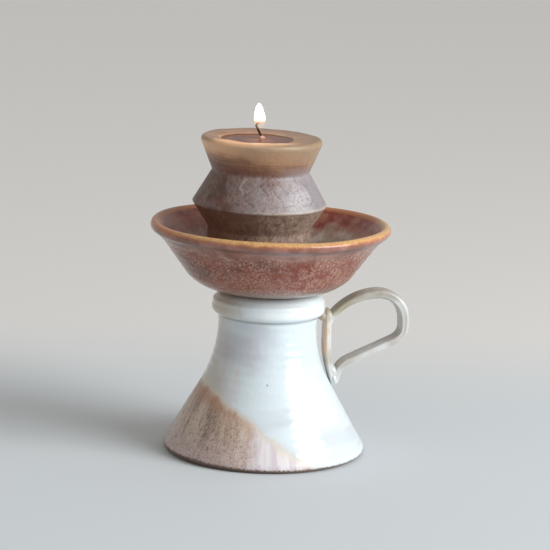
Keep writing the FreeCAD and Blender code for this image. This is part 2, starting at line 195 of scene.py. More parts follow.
class Recipe:
    """A material and the nodes that mix it."""

    def __init__(self, name):
        self.material = bpy.data.materials.new(name)
        self.material.use_nodes = True
        self.tree = self.material.node_tree
        self.shader = self.tree.nodes["Principled BSDF"]

    def node(self, kind, inputs=(), **settings):
        item = self.tree.nodes.new(kind)
        for key, value in settings.items():
            setattr(item, key, value)
        for key, value in dict(inputs).items():
            self.feed(item.inputs[key], value)
        return item

    def feed(self, socket, value):
        if isinstance(value, bpy.types.NodeSocket):
            self.tree.links.new(value, socket)
        else:
            socket.default_value = value

    def place(self):
        """Where a point is on the piece, in metres: the spot, and its x, y and z."""
        spot = self.node("ShaderNodeTexCoord").outputs["Object"]
        return spot, *self.node("ShaderNodeSeparateXYZ", {"Vector": spot}).outputs

    def radius(self, spot):
        """How far a spot is from the piece's axis."""
        flat = self.node("ShaderNodeVectorMath", {0: spot, 1: (1, 1, 0)}, operation="MULTIPLY").outputs[0]
        return self.node("ShaderNodeVectorMath", {0: flat}, operation="LENGTH").outputs["Value"]

    def distance(self, spot, mark):
        inputs = {0: spot, 1: mark}
        return self.node("ShaderNodeVectorMath", inputs, operation="DISTANCE").outputs["Value"]

    def flow(self, around, along):
        """The glaze-run map, stretched: specks per millimetre each way."""
        spot = self.node("ShaderNodeAttribute", attribute_name="flow").outputs["Vector"]
        scale = {"Vector": spot, "Scale": (around, around, along)}
        return self.node("ShaderNodeMapping", scale).outputs[0]

    def clouds(self, spot, scale=1.0, detail=3.0, rough=0.5, warp=0.0):
        inputs = {"Vector": spot, "Scale": scale, "Detail": detail, "Roughness": rough, "Distortion": warp}
        return self.node("ShaderNodeTexNoise", inputs).outputs["Fac"]

    def step(self, value, low, high):
        """0 below low, 1 above high, smooth between."""
        inputs = {"Value": value, "From Min": low, "From Max": high}
        return self.node("ShaderNodeMapRange", inputs, interpolation_type="SMOOTHSTEP").outputs[0]

    def between(self, value, start, full, fading, gone):
        """0 below start, 1 from full to fading, and 0 again past gone."""
        return self.times(self.step(value, start, full), self.step(value, gone, fading))

    def spread(self, value, low, high):
        """Stretch 0 to 1 over low to high."""
        return self.node("ShaderNodeMapRange", {"Value": value, "To Min": low, "To Max": high}).outputs[0]

    def maths(self, operation, first, second=0.0):
        return self.node("ShaderNodeMath", {0: first, 1: second}, operation=operation).outputs[0]

    def times(self, value, *factors):
        for factor in factors:
            value = self.maths("MULTIPLY", value, factor)
        return value

    def plus(self, value, *terms):
        for term in terms:
            value = self.maths("ADD", value, term)
        return value

    def minus(self, value, term):
        return self.maths("SUBTRACT", value, term)

    def stray(self, value, cloud, reach):
        """Let a measure wander with a cloud, so that no edge on it runs straight."""
        return self.plus(value, self.times(self.minus(cloud, 0.5), reach))

    def colour(self, share, first, second):
        inputs = {0: share, 6: first, 7: second}
        return self.node("ShaderNodeMix", inputs, data_type="RGBA").outputs[2]

    def tint(self, under, over, where, strength):
        """Lay one colour over another, where a mask says and as strongly as given."""
        return self.colour(self.times(where, strength), under, over)

    def relief(self, height, depth, base=None):
        """Bump of the given depth in metres."""
        inputs = {"Height": height, "Distance": depth, "Strength": 1.0}
        if base:
            inputs["Normal"] = base
        return self.node("ShaderNodeBump", inputs).outputs[0]

    def finish(self, **sockets):
        for name, value in sockets.items():
            self.feed(self.shader.inputs[name.replace("_", " ")], value)
        return self.material


def dress(piece, body, slot, material, *nodes):
    """Put the finish on a piece, seat it on its body, and let it stand for its CAD nodes."""
    piece.data.materials.clear()
    piece.data.materials.append(material)
    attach(piece, body)
    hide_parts(*nodes)


def above_slant(spot):
    return spot.z + slant_x * spot.x + slant_y * spot.y - slant_height


def potter_on_pedestal(angle, spot):
    """Finger rings that climb as the wheel turns, a body a hair out of round, and
    the thickness of the white glaze where it covers the tan."""
    out = Vector((spot.x, spot.y, 0)).normalized()
    if spot.z < 2 * mm or spot.xy.length < 20 * mm:
        return spot
    climb = math.tau * spot.z / ring_pitch + angle
    ripple = ring_depth * math.sin(climb) * (0.6 + noise.noise(spot * 40))
    sway = out_of_round * noise.noise(Vector((out.x * 0.9, out.y * 0.9, spot.z * 16)))
    coat = white_thickness * eased(above_slant(spot), -2.0 * mm, 1.5 * mm)
    fade = eased(spot.z, 2 * mm, 9 * mm) * eased(seat_height - spot.z, 0, 4 * mm)
    blister = drip_height * dimple(spot, drip_spot, drip_radius)
    blister -= blister_depth * dimple(spot, blister_spot, blister_radius)
    return spot + out * ((ripple + sway) * fade + coat + blister)


pedestal_outline = [
    (0, 0),
    (foot_flat, 0, 1.9 * mm),
    (foot_radius, 6.4 * mm),
    (42.0 * mm, 43.1 * mm, -2.67 * mm),
    (neck_radius, neck_height),
    (31.6 * mm, 88.5 * mm),
    (33.5 * mm, 89.5 * mm, 1.55 * mm),
    (collar_radius, 95.6 * mm, -0.12 * mm),
    (35.2 * mm, 97.2 * mm, 0.3 * mm),
    (35.1 * mm, 98.9 * mm),
    (33.6 * mm, 99.9 * mm),
    (33.4 * mm, 100.4 * mm, 0.7 * mm),
    (27.5 * mm, seat_height - seat_gap),
    (throat_radius, seat_height - seat_gap),
    (throat_radius, 97.8 * mm),
    (25.5 * mm, neck_height, 2.7 * mm),
    (36.8 * mm, 40.1 * mm),
    (54.1 * mm, 10.0 * mm, -1.0 * mm),
    (51.0 * mm, floor_thickness),
    (0, floor_thickness),
]
pedestal_path = softened(outline(pedestal_outline, 1.1 * mm), 2)
pedestal = turned("pedestal", pedestal_path, around=264, girth=48 * mm, hand=potter_on_pedestal)

# The kiln vent is drilled through the floor.
drill_outline = [(0, drill_low), (vent_radius, drill_low), (vent_radius, drill_high), (0, drill_high)]
drill = turned("vent_drill", outline(drill_outline, 2 * mm), around=32)
drill.location.y = vent_offset
bore = pedestal.modifiers.new("vent", "BOOLEAN")
bore.object = drill
bore.operation = "DIFFERENCE"
set_hard(pedestal)
bpy.data.objects.remove(drill)

cool_white = tone(216, 227, 232)
ring_shade_grey = tone(202, 210, 216)
run_pink = tone(214, 209, 216)
thin_buff = tone(222, 217, 203)
left_shade_buff = tone(204, 190, 172)
collar_shade_buff = tone(200, 182, 154)
smudge_grey = tone(186, 180, 188)
crease_pool_and_shade = tone(150, 147, 140)
neck_shade_grey = tone(206, 217, 222)
collar_bounce_light = tone(240, 245, 246)
blister_grey = tone(170, 178, 188)
tan_light = tone(212, 192, 176)
tan_deep = tone(182, 154, 136)
streak_brown = tone(118, 96, 84)
edge_tan = tone(190, 172, 150)
haze_pink = tone(196, 174, 172)
speck_brown = tone(104, 84, 74)
speck_cream = tone(216, 205, 196)
lilac_light = tone(226, 220, 222)
lilac_deep = tone(208, 196, 202)
nibble_brown = tone(136, 104, 98)
apex_red = tone(182, 132, 106)
border_tan = tone(192, 158, 130)
lap_cream = tone(218, 206, 192)
bare_clay_and_shade = tone(104, 80, 66)


def slanting_white_glaze():
    """Cool white glaze over a streaked, speckled tan one, and bare clay at the very foot."""
    mix = Recipe("white_over_tan_glaze")
    spot, x, y, z = mix.place()
    runs = mix.clouds(mix.flow(0.13, 0.022))
    rings = mix.clouds(mix.flow(0.02, 0.07), detail=2.0)
    wander = mix.clouds(mix.flow(0.09, 0.06), detail=5.0, rough=0.6)
    fine = mix.clouds(mix.flow(1.3, 0.7), rough=0.65)

    # The white: thick and cool, greyed along the finger rings by painted shade, warmer where it is thin.
    white = mix.colour(mix.step(rings, 0.42, 0.70), cool_white, ring_shade_grey)
    white = mix.tint(white, run_pink, mix.step(runs, 0.54, 0.76), 0.45)
    white = mix.tint(white, thin_buff, mix.step(wander, 0.58, 0.74), 0.45)
    across = mix.stray(x, wander, 24 * mm)
    # Painted shade: a warm buff down the left side, away from the light.
    white = mix.tint(white, left_shade_buff, mix.step(across, -14 * mm, -34 * mm), 0.6)
    # Painted shade: a warmer buff on the left of the collar.
    collar_left_shade = mix.times(mix.step(z, 86 * mm, 91 * mm), mix.step(across, -8 * mm, -26 * mm))
    white = mix.tint(white, collar_shade_buff, collar_left_shade, 0.45)
    smudge = mix.times(mix.between(z, 58 * mm, 68 * mm, 76 * mm, 84 * mm), mix.step(across, 6 * mm, -10 * mm))
    white = mix.tint(white, smudge_grey, smudge, 0.45)
    # Pooled glaze and painted shade darken the crease under the collar.
    under_collar = mix.between(z, 87.4 * mm, 88.6 * mm, 89.0 * mm, 90.0 * mm)
    white = mix.tint(white, crease_pool_and_shade, under_collar, 0.7)
    # Painted shade: the right of the upper cone and neck, where the light falls, is toned grey.
    upper_cone = mix.between(z, 48 * mm, 66 * mm, 84 * mm, 93 * mm)
    white = mix.tint(white, neck_shade_grey, upper_cone, mix.step(x, 4 * mm, 22 * mm))
    # Painted light: the top of the collar is whitened where the bowl shades it, as if lit by bounce light.
    painted_collar_light = mix.times(mix.step(z, 89.5 * mm, 92 * mm), mix.step(across, -22 * mm, -2 * mm))
    white = mix.tint(white, collar_bounce_light, painted_collar_light, 0.4)
    burst = mix.plus(mix.distance(spot, blister_spot), mix.times(fine, 1.6 * mm))
    white = mix.colour(mix.step(burst, 1.9 * mm, 1.1 * mm), white, blister_grey)

    # The tan: streaks that follow the cone down, specks, and a pink haze low down.
    streaks = mix.clouds(mix.flow(0.16, 0.016), detail=4.0, rough=0.6, warp=0.8)
    specks = mix.clouds(mix.flow(0.62, 0.42), detail=4.0, rough=0.8, warp=1.4)
    tan = mix.colour(mix.step(streaks, 0.36, 0.64), tan_light, tan_deep)
    dark_streaks = mix.times(mix.step(streaks, 0.5, 0.62), mix.step(x, -22 * mm, -38 * mm))
    tan = mix.tint(tan, streak_brown, dark_streaks, 0.65)
    tan = mix.tint(tan, edge_tan, mix.step(x, -38 * mm, -50 * mm), mix.step(streaks, 0.50, 0.38))
    haze = mix.step(mix.stray(z, wander, 16 * mm), 24 * mm, 8 * mm)
    tan = mix.tint(tan, haze_pink, haze, 0.70)
    tan = mix.tint(tan, speck_brown, mix.step(specks, 0.53, 0.62), 0.66)
    tan = mix.tint(tan, speck_cream, mix.step(specks, 0.48, 0.40), 0.55)

    # Where the two lap: rise is the height above the slanting line.
    rise = mix.plus(mix.times(x, slant_x), mix.times(y, slant_y), z, -slant_height)
    rise = mix.stray(mix.stray(rise, wander, 15 * mm), fine, 3.5 * mm)
    side = mix.stray(x, wander, 26 * mm)
    lilac = mix.colour(mix.step(streaks, 0.44, 0.60), lilac_light, lilac_deep)
    nibbled = mix.times(mix.step(specks, 0.52, 0.60), mix.step(z, 7 * mm, 2 * mm))
    lilac = mix.tint(lilac, nibble_brown, nibbled, 0.8)
    under = mix.colour(mix.step(side, -13 * mm, 0), tan, lilac)
    apex = mix.times(mix.step(z, 27 * mm, 38 * mm), mix.step(rise, -20 * mm, -7 * mm))
    under = mix.tint(under, apex_red, apex, 0.65)
    border = mix.times(mix.step(rise, -12 * mm, -3 * mm), mix.step(side, 2 * mm, -12 * mm))
    under = mix.tint(under, border_tan, border, 0.42)
    coat = mix.colour(mix.step(rise, -5.0 * mm, 1.0 * mm), under, lap_cream)
    coat = mix.colour(mix.step(rise, -2.0 * mm, 4.0 * mm), coat, white)

    # The coats stop just short of the foot and leave the clay bare; the band is widened on the left as
    # painted contact shade.
    clay_and_shade_line = mix.stray(z, fine, 4.5 * mm)
    clay_and_shade_line = mix.plus(clay_and_shade_line, mix.times(mix.step(x, 10 * mm, -55 * mm), -1.4 * mm))
    colour = mix.colour(mix.step(clay_and_shade_line, 3.0 * mm, 1.8 * mm), coat, bare_clay_and_shade)

    pits = mix.relief(mix.clouds(mix.flow(0.30, 0.22), detail=2.0), 0.10 * mm)
    grit = mix.times(specks, mix.step(rise, 1 * mm, -2 * mm))
    return mix.finish(
        Base_Color=colour,
        Roughness=mix.spread(mix.step(rise, -2 * mm, 2 * mm), 0.34, 0.15),
        Normal=mix.relief(grit, 0.16 * mm, pits),
        Coat_Weight=0.2,
        Coat_Roughness=0.08,
    )


dress(pedestal, "stand", "white_glaze", slanting_white_glaze(), "pedestal_base")


# -------------------------------------------------------------------- handle
# A strap of clay pulled by hand with two finger grooves down each face, folded
# into an ear and pressed on beside the neck: thumbed down flat at the tail, and
# packed with a wad of clay where it meets the collar.

handle_turn = math.radians(12)
clay_grain = 0.42 * mm
leg_groove = 0.10
ear_groove = 0.20


def strap_section(width, thickness, groove, count=44):
    """Points round a soft-edged strap: two shallow grooves down each face, and a
    crease down each edge where the thumb and finger met."""
    face_softness = 0.5
    edge_softness = 0.72
    groove_place = width * 0.17
    groove_width = width * 0.08
    crease_depth = 0.11
    points = []
    for step in range(count):
        turn = math.tau * step / count
        fat, wide = math.cos(turn), math.sin(turn)
        fat = math.copysign(abs(fat) ** face_softness, fat) * thickness / 2
        wide = math.copysign(abs(wide) ** edge_softness, wide) * width / 2
        dip = math.exp(-((abs(wide) - groove_place) / groove_width) ** 2)
        crease = math.exp(-((fat / thickness - 0.10) / 0.13) ** 2)
        points.append((fat * (1 - groove * dip), wide * (1 - crease_depth * crease)))
    return points


def capped(form, rings):
    """Join rings of corners into a rod that is closed at both ends."""
    joined(form, rings)
    form.faces.new(reversed(rings[0]))
    form.faces.new(rings[-1])


def pulled_strap(form, path, sizes, groove):
    """Draw a strap along a path given as (reach, height). Its (width, thickness) at
    even shares of the way are the sizes; the hand that pulls it is never quite even."""
    rings = []
    last = len(path) - 1
    for index, here in enumerate(path):
        place = index / last * (len(sizes) - 1)
        stage = min(int(place), len(sizes) - 2)
        width, thickness = Vector(sizes[stage]).lerp(Vector(sizes[stage + 1]), place - stage)
        ahead = path[min(last, index + 1)] - path[max(0, index - 1)]
        side = Vector((ahead.y, -ahead.x)).normalized()
        uneven = 1 + 0.07 * noise.noise(Vector((here.x * 60, here.y * 60, 3.0)))
        ring = []
        for fat, wide in strap_section(width * uneven, thickness * uneven, groove):
            spot = here + side * fat
            ring.append(form.verts.new((spot.x, wide, spot.y)))
        rings.append(ring)
    capped(form, rings)


def wad(form, centre, size, lean):
    """A thumbed lump of clay: an egg of the given half sizes, leaning in the handle's plane."""
    upright = Matrix.Rotation(math.radians(lean), 4, "Y") @ Matrix.Diagonal((*size, 1))
    bmesh.ops.create_icosphere(form, subdivisions=4, radius=1, matrix=Matrix.Translation(centre) @ upright)


leg_path = outline([
    (43.7 * mm, 42.5 * mm),
    (40.3 * mm, 57.1 * mm, -0.28 * mm),
    (38.8 * mm, 67.5 * mm),
    (38.6 * mm, 86.0 * mm),
    (38.2 * mm, 89.0 * mm),
], 1.0 * mm)
leg_sizes = [
    (9.5 * mm, 3.4 * mm),
    (12.4 * mm, 5.2 * mm),
    (12.8 * mm, 5.0 * mm),
    (12.4 * mm, 4.8 * mm),
    (11.5 * mm, 4.4 * mm),
]
ear_path = outline([
    (38.8 * mm, 82.0 * mm, -1.1 * mm),
    (49.0 * mm, 94.2 * mm, -1.75 * mm),
    (71.6 * mm, 101.7 * mm, -5.1 * mm),
    (88.9 * mm, 84.5 * mm),
    (88.9 * mm, 81.5 * mm, -2.6 * mm),
    (81.7 * mm, 70.4 * mm),
    (51.8 * mm, 57.2 * mm, 0.75 * mm),
    (46.8 * mm, 51.6 * mm),
    (44.7 * mm, 43.4 * mm),
], 1.0 * mm)
ear_sizes = [
    (10.5 * mm, 4.4 * mm),
    (12.0 * mm, 5.0 * mm),
    (13.6 * mm, 6.2 * mm),
    (13.8 * mm, 6.6 * mm),
    (13.8 * mm, 5.6 * mm),
    (13.8 * mm, 4.8 * mm),
    (13.4 * mm, 4.7 * mm),
    (10.5 * mm, 4.0 * mm),
]

clay = bmesh.new()
pulled_strap(clay, softened(leg_path, 6), leg_sizes, leg_groove)
pulled_strap(clay, softened(ear_path, 7), ear_sizes, ear_groove)

# Two wads pack the joint under the collar, and two fatten the tail.
wad(clay, (35.4 * mm, 0, 87.2 * mm), (5.0 * mm, 5.4 * mm, 3.4 * mm), 38)
wad(clay, (38.6 * mm, 0, 88.8 * mm), (3.6 * mm, 5.2 * mm, 2.8 * mm), 44)
wad(clay, (44.0 * mm, 0, 45.8 * mm), (2.1 * mm, 6.2 * mm, 5.0 * mm), -14)
wad(clay, (43.6 * mm, 0, 50.8 * mm), (2.4 * mm, 5.6 * mm, 5.2 * mm), -10)
bmesh.ops.recalc_face_normals(clay, faces=clay.faces)
handle = finished("strap_handle", clay)

# The strap, its folded-back leg and the wads are worked into one lump and sponged.
kneaded = handle.modifiers.new("kneaded", "REMESH")
kneaded.mode = "VOXEL"
kneaded.voxel_size = clay_grain
kneaded.use_smooth_shade = True
sponged = handle.modifiers.new("sponged", "SMOOTH")
sponged.factor = 0.5
sponged.iterations = 5
set_hard(handle)
handle.data.transform(Matrix.Rotation(handle_turn, 4, "Z"))

strap_white = tone(208, 209, 206)
strap_grey = tone(186, 182, 175)
run_buff = tone(178, 168, 150)
collar_olive = tone(162, 154, 132)
crown_brown = tone(150, 142, 128)
turn_highlight = tone(228, 228, 225)
leg_inner_peach = tone(216, 182, 156)
root_brown = tone(166, 142, 118)


def thin_white_glaze():
    """The same white glaze, thinner: warm grey on the strap, olive where it breaks near
    the collar, and a warm peach tint on the leg's face toward the neck."""
    mix = Recipe("thin_white_glaze")
    spot, x, _, z = mix.place()
    runs = mix.clouds(spot, scale=120.0, detail=4.0)
    broad = mix.clouds(spot, scale=42.0, detail=2.0)
    reach = mix.stray(x, runs, 14 * mm)
    colour = mix.colour(mix.step(broad, 0.40, 0.62), strap_white, strap_grey)
    colour = mix.tint(colour, run_buff, mix.step(runs, 0.54, 0.70), 0.7)
    colour = mix.tint(colour, collar_olive, mix.step(reach, 64 * mm, 50 * mm), mix.step(z, 84 * mm, 92 * mm))
    colour = mix.tint(colour, crown_brown, mix.step(z, 95 * mm, 100 * mm), 0.6)
    # Painted highlight: the outer turn of the ear is whitened on the right.
    colour = mix.tint(colour, turn_highlight, mix.step(x, 80 * mm, 86 * mm), 0.2)
    near_neck = mix.times(mix.step(reach, 38.4 * mm, 36.4 * mm), mix.step(z, 88 * mm, 84 * mm))
    colour = mix.tint(colour, leg_inner_peach, near_neck, mix.step(z, 46 * mm, 52 * mm))
    root = mix.times(mix.step(reach, 41 * mm, 37 * mm), mix.step(z, 82 * mm, 86 * mm))
    colour = mix.tint(colour, root_brown, root, 0.5)
    pits = mix.relief(mix.clouds(spot, scale=420.0), 0.08 * mm)
    return mix.finish(Base_Color=colour, Roughness=0.18, Normal=pits, Coat_Weight=0.2, Coat_Roughness=0.08)


dress(handle, "stand", "white_glaze", thin_white_glaze(), "handle")


# ---------------------------------------------------------------------- bowl
# A shallow flared bowl, thrown apart and stuck to the collar with slip. Its iron
# glaze breaks to rust where it is thick, grows pale crystals as it runs down the
# outside, and pools grey in the bottom.

bowl_low, bowl_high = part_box("bowl")
bowl_centre = (bowl_low + bowl_high) / 2
bowl_foot = bowl_low.z
foot_gap = 0.1 * mm
rim_top = bowl_high.z - bowl_foot
bowl_floor = 8.2 * mm
bowl_ring_pitch = 4.6 * mm
bowl_ring_depth = 0.12 * mm
rim_wave = 0.9 * mm
wall_sway = 0.8 * mm

# A cone half way through the wall, which tells the inside from the outside.
wall_slope = 0.715
wall_radius = 42.6 * mm


def potter_on_bowl(angle, spot):
    """Rings, a rim that waves by half a millimetre, and a wall a little out of round."""
    out = Vector((spot.x, spot.y, 0)).normalized()
    reach = eased(spot.xy.length, 34 * mm, 74 * mm)
    wave = noise.noise(Vector((out.x * 1.3, out.y * 1.3, 7.0)))
    ripple = bowl_ring_depth * math.sin(math.tau * spot.z / bowl_ring_pitch + angle) * reach
    lift = rim_wave * wave * reach
    sway = wall_sway * noise.noise(Vector((out.x, out.y, 2.0))) * reach
    return spot + out * (sway + ripple) + Vector((0, 0, lift))


bowl_outline = [
    (0, foot_gap),
    (27.3 * mm, foot_gap),
    (28.1 * mm, 1.0 * mm, 2.9 * mm),
    (52.6 * mm, 11.2 * mm),
    (65.5 * mm, 29.0 * mm, -0.52 * mm),
    (74.2 * mm, 37.8 * mm, 2.5 * mm),
    (73.2 * mm, rim_top, 0.35 * mm),
    (70.5 * mm, 42.8 * mm, 0.6 * mm),
    (61.0 * mm, 32.7 * mm),
    (45.1 * mm, 10.7 * mm, -0.8 * mm),
    (40.2 * mm, bowl_floor),
    (0, bowl_floor),
]
bowl_path = softened(outline(bowl_outline, 0.8 * mm), 2)
bowl = turned("flared_bowl", bowl_path, around=320, girth=62 * mm, hand=potter_on_bowl)
bowl.location = (bowl_centre.x, bowl_centre.y, bowl_foot)

band_mauve = tone(160, 112, 98)
band_umber = tone(134, 88, 74)
rust_dark = tone(108, 54, 40)
rust_orange = tone(136, 62, 36)
fired_red = tone(128, 52, 28)
crystal_pale = tone(200, 166, 146)
crystal_buff = tone(174, 134, 118)
veil_mauve = tone(166, 132, 122)
speck_black = tone(84, 42, 34)
painted_foot_shade = tone(96, 62, 52)
undercut_shade = tone(92, 58, 48)
wall_red = tone(138, 52, 36)
wall_rose = tone(170, 92, 72)
wall_buff = tone(166, 112, 92)
wall_fleck = tone(172, 130, 110)
pool_grey = tone(184, 162, 146)
pool_cream = tone(216, 202, 188)
pool_brown = tone(140, 116, 98)
lip_gold = tone(222, 180, 124)
lip_ochre = tone(190, 136, 84)
lip_shade_brown = tone(192, 122, 80)
lip_under = tone(184, 108, 70)
lip_bite = tone(120, 74, 54)
foot_clay = tone(112, 84, 66)


def rust_glaze():
    """Iron-red glaze: ochre where it thins over the lip, mauve below, then rust full of crystals."""
    mix = Recipe("rust_crystal_glaze")
    spot, x, y, z = mix.place()
    radius = mix.radius(spot)
    broad = mix.clouds(mix.flow(0.045, 0.07))
    runs = mix.clouds(mix.flow(0.32, 0.035), rough=0.6)
    crystal = mix.clouds(mix.flow(0.80, 0.62), detail=4.0, rough=0.85, warp=0.5)
    grain = mix.clouds(mix.flow(1.9, 1.4), detail=2.0)
    haze = mix.clouds(mix.flow(0.10, 0.10))

    # Outside, from the lip down: mauve band, rust body thick with crystals, dim belly.
    level = mix.stray(z, runs, 9 * mm)
    mauve = mix.colour(mix.step(haze, 0.4, 0.62), band_mauve, band_umber)
    rust = mix.colour(mix.step(broad, 0.40, 0.56), rust_dark, rust_orange)
    below_band = mix.step(level, 36 * mm, 30 * mm)
    fired = mix.times(mix.step(x, -8 * mm, 24 * mm), below_band, mix.step(level, 6 * mm, 14 * mm))
    rust = mix.tint(rust, fired_red, fired, 0.85)
    outside = mix.colour(mix.step(level, 34 * mm, 27 * mm), mauve, rust)
    clumps = mix.clouds(mix.flow(0.11, 0.13), rough=0.6)
    thick = mix.times(below_band, mix.step(clumps, 0.32, 0.54))
    veil = mix.times(mix.step(level, 22 * mm, 12 * mm), mix.step(haze, 0.42, 0.60))
    outside = mix.tint(outside, veil_mauve, veil, 0.30)
    outside = mix.tint(outside, speck_black, mix.step(crystal, 0.44, 0.36), mix.times(thick, 0.5))
    flecks = mix.times(mix.step(crystal, 0.475, 0.57), mix.plus(mix.times(thick, 0.68), 0.12))
    pale = mix.colour(mix.step(haze, 0.35, 0.65), crystal_pale, crystal_buff)
    outside = mix.colour(flecks, outside, pale)
    # Painted shade darkens the bowl's foot where it sits on the collar.
    outside = mix.tint(outside, painted_foot_shade, mix.step(z, 6 * mm, 2 * mm), 0.8)
    # Painted shade: a dark line in the undercut below the lip.
    undercut_line = mix.between(z, 35.4 * mm, 36.8 * mm, 37.6 * mm, 39.0 * mm)
    outside = mix.tint(outside, undercut_shade, undercut_line, 0.55)

    # Inside: red-brown on the wall, grey where the glaze has run down and pooled.
    inside = mix.colour(mix.step(broad, 0.40, 0.60), wall_red, wall_rose)
    inside = mix.tint(inside, wall_buff, mix.step(haze, 0.48, 0.60), 0.7)
    inside = mix.tint(inside, wall_fleck, mix.step(crystal, 0.56, 0.66), 0.30)
    wide_runs = mix.clouds(mix.flow(0.12, 0.03), rough=0.55)
    pool_edge = mix.step(mix.stray(z, wide_runs, 18 * mm), 37 * mm, 27 * mm)
    swirl = mix.clouds(spot, scale=70.0, detail=5.0, rough=0.7, warp=0.8)
    pooled = mix.colour(mix.step(swirl, 0.40, 0.62), pool_grey, pool_cream)
    pooled = mix.colour(mix.step(z, 11 * mm, 8.5 * mm), pooled, pool_brown)
    uneven_pool = mix.plus(mix.times(mix.step(x, -34 * mm, 0), 0.5), 0.45)
    inside = mix.tint(inside, pooled, pool_edge, uneven_pool)

    wall_line = mix.minus(mix.times(z, wall_slope), mix.minus(radius, wall_radius))
    face = mix.step(wall_line, -0.5 * mm, 0.5 * mm)
    low_inside = mix.times(mix.step(radius, 49 * mm, 46 * mm), mix.step(z, 6 * mm, 7.5 * mm))
    colour = mix.colour(mix.maths("MAXIMUM", face, low_inside), outside, inside)

    # The lip: bright ochre where it is thinnest; browner round the left and the back as painted shade, away
    # from the light at the front right.
    lip = mix.stray(z, runs, 2.6 * mm)
    ochre = mix.colour(mix.step(grain, 0.38, 0.66), lip_gold, lip_ochre)
    lit_front = mix.stray(mix.minus(mix.times(x, 0.6), y), haze, 60 * mm)
    ochre = mix.colour(mix.step(lit_front, 40 * mm, -15 * mm), ochre, lip_shade_brown)
    ochre = mix.colour(mix.step(lip, 43.4 * mm, 41.0 * mm), ochre, lip_under)
    ochre = mix.tint(ochre, lip_bite, mix.step(crystal, 0.58, 0.68), 0.6)
    band = mix.times(mix.step(lip, 40.2 * mm, 42.6 * mm), mix.step(radius, 68.5 * mm, 70.2 * mm))
    colour = mix.colour(band, colour, ochre)
    colour = mix.tint(colour, foot_clay, mix.step(z, 1.3 * mm, 0.8 * mm), 0.8)

    skin = mix.relief(crystal, 0.10 * mm)
    skin = mix.relief(mix.clouds(mix.flow(0.25, 0.1), detail=2.0), 0.25 * mm, skin)
    gloss = mix.spread(flecks, 0.20, 0.42)
    return mix.finish(Base_Color=colour, Roughness=gloss, Normal=skin, Coat_Weight=0.12, Coat_Roughness=0.10)


dress(bowl, "stand", "rust_glaze", rust_glaze(), "bowl")


# ---------------------------------------------------------------- glaze drop
# One drop of clear glaze ran off the bowl's foot in the kiln and froze on the
# collar, plump above and blunt below.

drop_radius = 0.95 * mm
drop_spot = Vector((33.6 * mm, -9.0 * mm, bowl_foot + 0.6 * mm))
drop_form = bmesh.new()
bmesh.ops.create_icosphere(drop_form, subdivisions=4, radius=1)
for corner in drop_form.verts:
    corner.co.x *= 0.9
    corner.co.z *= 1.5 if corner.co.z > 0 else 1.1
    corner.co *= drop_radius
    corner.co += drop_spot
drop = finished("glaze_drop", drop_form)
milky = Recipe("milky_glaze")
cloud = milky.clouds(milky.place()[0], scale=600.0)
milky.finish(
    Base_Color=milky.colour(cloud, tone(226, 220, 206), tone(196, 182, 160)),
    Roughness=0.08,
    Coat_Weight=0.5,
)
dress(drop, "stand", "rust_glaze", milky.material)


# -------------------------------------------------------------------- candle
# Brown wax cast in a turned mould: a drum, a sharp belt, a waist and a flared
# top. It has burnt an off-centre hollow round the wick. The wax is clear and
# amber near the flame, and wears a frosty bloom above its belt.

wax_low, wax_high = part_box("candle_wax")
candle_axis = (wax_low + wax_high) / 2
candle_height = wax_high.z - wax_low.z
drum_radius = 32.2 * mm
belt_radius = 42.3 * mm
waist_radius = 30.6 * mm
waist_height = 68.0 * mm
recess_radius = 10.2 * mm
recess_depth = 0.8 * mm
hollow_shift = Vector((-3.4 * mm, -6.3 * mm, 0))
candle_tilt = 0.013
skin_wobble = 0.28 * mm
skin_dent = 0.10 * mm
hollow_slump = 0.7 * mm
top_slump = 0.35 * mm
flame_heart = hollow_shift + Vector((0, 0, candle_height + 4 * mm))
sheen_spot = Vector((25 * mm, -28 * mm, 53 * mm))


def heat_on_wax(angle, spot):
    """Slump the hollow to one side, soften the top's edge and let the whole lean a hair."""
    out = Vector((spot.x, spot.y, 0)).normalized()
    wobble = noise.noise(Vector((out.x * 1.7, out.y * 1.7, spot.z * 30)))
    dents = noise.noise(Vector((out.x * 9, out.y * 9, spot.z * 260)))
    skin = skin_wobble * wobble + skin_dent * dents
    moved = spot + out * skin * eased(spot.xy.length, 4 * mm, 16 * mm)
    top = eased(spot.z, 0.90 * candle_height, 0.95 * candle_height)
    inner = top * eased(35 * mm - spot.xy.length, 0, 9 * mm)
    moved += hollow_shift * inner
    moved.z += hollow_slump * wobble * inner
    moved.z += top_slump * noise.noise(Vector((out.x * 2.3, out.y * 2.3, 11))) * top
    moved.z -= candle_tilt * spot.x * eased(spot.z, 2 * mm, 30 * mm)
    return moved


candle_outline = [
    (0, recess_depth),
    (recess_radius, recess_depth),
    (recess_radius, 0),
    (30.7 * mm, 0, 0.44 * mm),
    (drum_radius, 1.5 * mm),
    (drum_radius, 31.8 * mm),
    (belt_radius, 47.1 * mm, 0.25 * mm),
    (belt_radius, 48.1 * mm),
    (waist_radius, waist_height),
    (37.9 * mm, candle_height - 3.5 * mm, 1.1 * mm),
    (35.8 * mm, candle_height),
    (24.6 * mm, candle_height - 0.2 * mm, 0.45 * mm),
    (22.6 * mm, candle_height - 1.1 * mm, -0.6 * mm),
    (18.5 * mm, candle_height - 4.0 * mm),
    (0, candle_height - 4.2 * mm),
]
candle_path = softened(outline(candle_outline, 0.7 * mm), 1)
candle = turned("totem_candle", candle_path, around=256, girth=36 * mm, hand=heat_on_wax)
candle.location = (candle_axis.x, candle_axis.y, wax_low.z)

